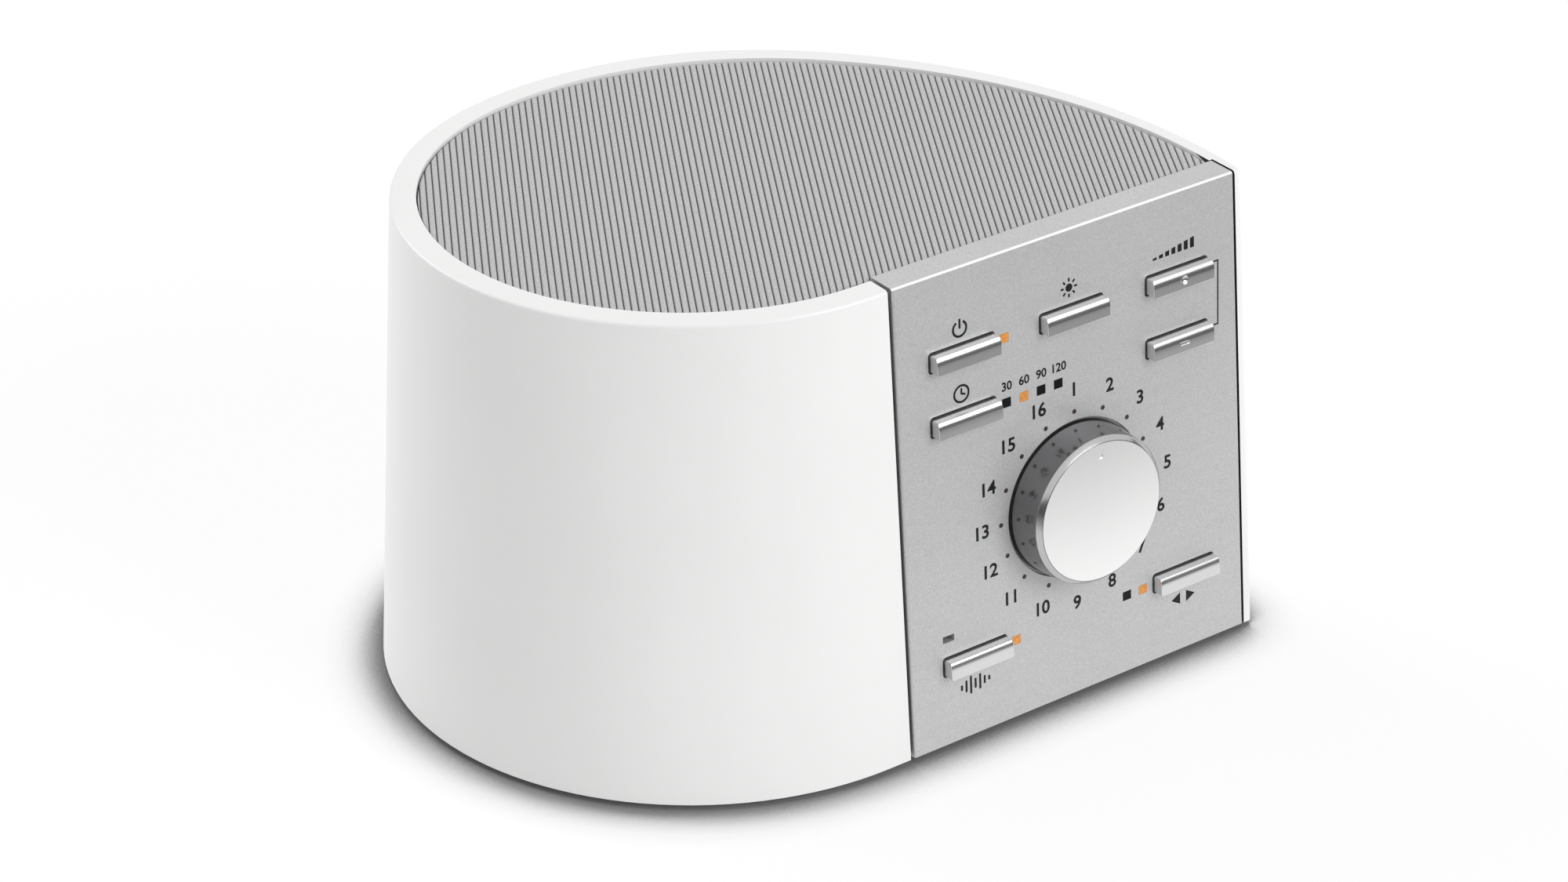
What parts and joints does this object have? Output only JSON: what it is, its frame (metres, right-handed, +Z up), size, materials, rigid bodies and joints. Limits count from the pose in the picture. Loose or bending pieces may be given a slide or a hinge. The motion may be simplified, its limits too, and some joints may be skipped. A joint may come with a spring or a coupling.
{
  "type": "white noise sound machine",
  "caption": "Bedside sound machine: white teardrop casing, cloth speaker grille on top, leaning silver panel with a dot-scale knob and bar keys.",
  "frame": {"origin": "middle of the bounding box's bottom, on the surface that the feet stand on", "axes": "+Z up, -Y towards the listener (the control panel faces -Y), +X to the panel's right"},
  "size_m": [0.1618, 0.1376, 0.1038],
  "materials": {
    "white_casing": "satin white moulding",
    "silver_panel": "silver lacquer on plastic",
    "silver_keys": "silver lacquer on plastic",
    "polished_knob": "polished",
    "brushed_knob": "fine spun",
    "grey_cloth": "ribbed weave",
    "amber_lens": "lit amber light pipe",
    "dark_lens": "unlit light pipe",
    "base_plastic": "fine texture",
    "black_plastic": "moulded",
    "inner_plastic": "moulded",
    "white_plastic": "moulded",
    "foot_rubber": "soft",
    "zinc_steel": "zinc plated",
    "black_steel": "black lacquer",
    "nickel": "nickel plated",
    "ferrite": "ground ferrite",
    "copper": "wound wire",
    "paper_cone": "pressed paper",
    "board_green": "solder mask",
    "component_black": "moulded"
  },
  "bodies": {
    "housing": {"outer_shell": "white_casing", "front_panel": "silver_panel", "base_plate": "base_plastic", "battery_box": "inner_plastic", "battery_contacts": "nickel", "battery_springs": "nickel", "rubber_feet": "foot_rubber", "jack_plate": "black_plastic", "case_screws": "zinc_steel", "board_screws": "zinc_steel", "speaker_deck": "inner_plastic", "grille_carrier": "black_plastic", "grille_cloth": "grey_cloth", "speaker_basket": "black_steel", "speaker_top_plate": "zinc_steel", "speaker_magnet": "ferrite", "speaker_yoke": "zinc_steel", "speaker_surround": "foot_rubber", "speaker_spider": "grey_cloth", "control_board": "board_green", "switch_bodies": "component_black", "led_emitters": "white_plastic", "led_lenses_lit": "amber_lens", "led_lenses_dark": "dark_lens", "microphone_boot": "foot_rubber", "microphone": "black_steel", "selector_body": "component_black", "selector_nut": "zinc_steel", "main_board": "board_green", "board_components": "component_black", "filter_capacitors": "component_black", "dc_jack": "black_plastic", "headphone_jack": "black_plastic", "aux_jack": "black_plastic", "ribbon_connectors": "white_plastic", "ribbon_cable": "inner_plastic", "speaker_leads": "foot_rubber"},
    "speaker_cone": {"speaker_cone": "paper_cone", "dust_cap": "paper_cone", "voice_coil": "copper"},
    "knob": {"knob_skirt": "polished_knob", "knob_face": "brushed_knob", "selector_shaft": "zinc_steel"},
    "battery_door": {"battery_door": "base_plastic"},
    "power_key": {"power_key": "silver_keys", "power_plunger": "white_plastic"},
    "timer_key": {"timer_key": "silver_keys", "timer_plunger": "white_plastic"},
    "display_key": {"display_key": "silver_keys", "display_plunger": "white_plastic"},
    "volume_up_key": {"volume_up_key": "silver_keys", "volume_up_plunger": "white_plastic"},
    "volume_down_key": {"volume_down_key": "silver_keys", "volume_down_plunger": "white_plastic"},
    "selection_key": {"selection_key": "silver_keys", "selection_plunger": "white_plastic"},
    "adaptive_key": {"adaptive_key": "silver_keys", "adaptive_plunger": "white_plastic"}
  },
  "joints": [
    {"name": "knob_turn", "type": "hinge", "parent": "housing", "child": "knob", "pos_m": [0.03279, -0.05983, 0.04542], "axis": [0, -0.9982, 0.0603], "continuous": true},
    {"name": "cone_stroke", "type": "slide", "parent": "housing", "child": "speaker_cone", "axis": [0, 0, 1], "range_m": [-0.0015, 0.0015], "stiffness_N_per_m": 900, "deforming": ["speaker_surround", "speaker_spider"]},
    {"name": "battery_door_hinge", "type": "hinge", "parent": "housing", "child": "battery_door", "pos_m": [-0.01937, 0.0227, 0.0022], "axis": [1, 0, 0], "range_deg": [0, 100]},
    {"name": "power_key_press", "type": "slide", "parent": "housing", "child": "power_key", "axis": [0, 0.9982, -0.0603], "range_m": [0, 0.0008], "stiffness_N_per_m": 1800, "springref_m": -0.0002},
    {"name": "timer_key_press", "type": "slide", "parent": "housing", "child": "timer_key", "axis": [0, 0.9982, -0.0603], "range_m": [0, 0.0008], "stiffness_N_per_m": 1800, "springref_m": -0.0002},
    {"name": "display_key_press", "type": "slide", "parent": "housing", "child": "display_key", "axis": [0, 0.9982, -0.0603], "range_m": [0, 0.0008], "stiffness_N_per_m": 1800, "springref_m": -0.0002},
    {"name": "volume_up_key_press", "type": "slide", "parent": "housing", "child": "volume_up_key", "axis": [0, 0.9982, -0.0603], "range_m": [0, 0.0008], "stiffness_N_per_m": 1800, "springref_m": -0.0002},
    {"name": "volume_down_key_press", "type": "slide", "parent": "housing", "child": "volume_down_key", "axis": [0, 0.9982, -0.0603], "range_m": [0, 0.0008], "stiffness_N_per_m": 1800, "springref_m": -0.0002},
    {"name": "selection_key_press", "type": "slide", "parent": "housing", "child": "selection_key", "axis": [0, 0.9982, -0.0603], "range_m": [0, 0.0008], "stiffness_N_per_m": 1800, "springref_m": -0.0002},
    {"name": "adaptive_key_press", "type": "slide", "parent": "housing", "child": "adaptive_key", "axis": [0, 0.9982, -0.0603], "range_m": [0, 0.0008], "stiffness_N_per_m": 1800, "springref_m": -0.0002}
  ]
}
